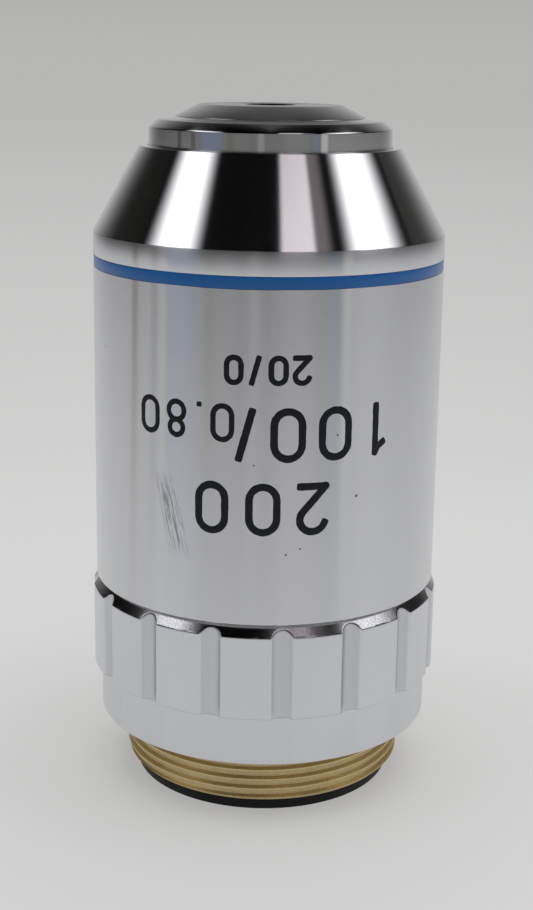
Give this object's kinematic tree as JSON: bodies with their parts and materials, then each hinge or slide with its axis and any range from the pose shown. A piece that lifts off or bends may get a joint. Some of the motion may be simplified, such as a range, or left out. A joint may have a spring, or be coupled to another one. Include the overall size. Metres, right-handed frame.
{
  "type": "microscope objective",
  "caption": "Long working distance microscope objective with a threaded brass mount, fluted grip ring, plain chrome sleeve with a blue band, and a sprung nose that carries the lens cells.",
  "frame": {"origin": "centre of the rear face, on the optical axis", "axes": "+Z along the optical axis from the mounting thread to the front lens; -Y is the side that carries the marking"},
  "size_m": [0.0252, 0.0252, 0.0486],
  "materials": {
    "brass": "turned, bare, with bright thread crests",
    "black_anodised": "matt black anodised",
    "satin_chrome": "satin chrome plate over brass",
    "bright_chrome": "mirror polished chrome plate",
    "dark_chrome": "polished plate, darker than the cone",
    "satin_nickel": "fine turned nickel plate",
    "blue_enamel": "gloss enamel in a groove",
    "plain_steel": "plain spring steel",
    "crown_glass": "polished and coated",
    "flint_glass": "polished and coated"
  },
  "bodies": {
    "housing": {"mount_tube": "brass", "rear_ring": "black_anodised", "grip_ring": "satin_chrome", "outer_sleeve": "satin_chrome", "enamel_band": "blue_enamel", "nose_cone": "bright_chrome", "stop_ring": "brass", "guide_screw": "plain_steel", "coil_spring": "plain_steel"},
    "nose": {"sliding_barrel": "brass", "stack_retainer": "black_anodised", "nose_ring": "dark_chrome", "front_cap": "satin_nickel", "front_lens": "crown_glass", "meniscus_cell": "black_anodised", "meniscus_lens": "crown_glass", "front_doublet_cell": "black_anodised", "front_doublet_crown": "crown_glass", "front_doublet_flint": "flint_glass", "aperture_stop": "black_anodised", "triplet_cell": "black_anodised", "triplet_front": "flint_glass", "triplet_middle": "crown_glass", "triplet_rear": "flint_glass", "stack_spacer": "brass", "rear_doublet_cell": "black_anodised", "rear_doublet_crown": "crown_glass", "rear_doublet_flint": "flint_glass", "corrector_cell": "black_anodised", "corrector_lens": "flint_glass"}
  },
  "joints": [
    {"name": "nose_retract", "type": "slide", "parent": "housing", "child": "nose", "axis": [0, 0, -1], "range_m": [0, 0.0022], "stiffness_N_per_m": 400, "springref_m": -0.004, "deforming": ["coil_spring"]}
  ]
}
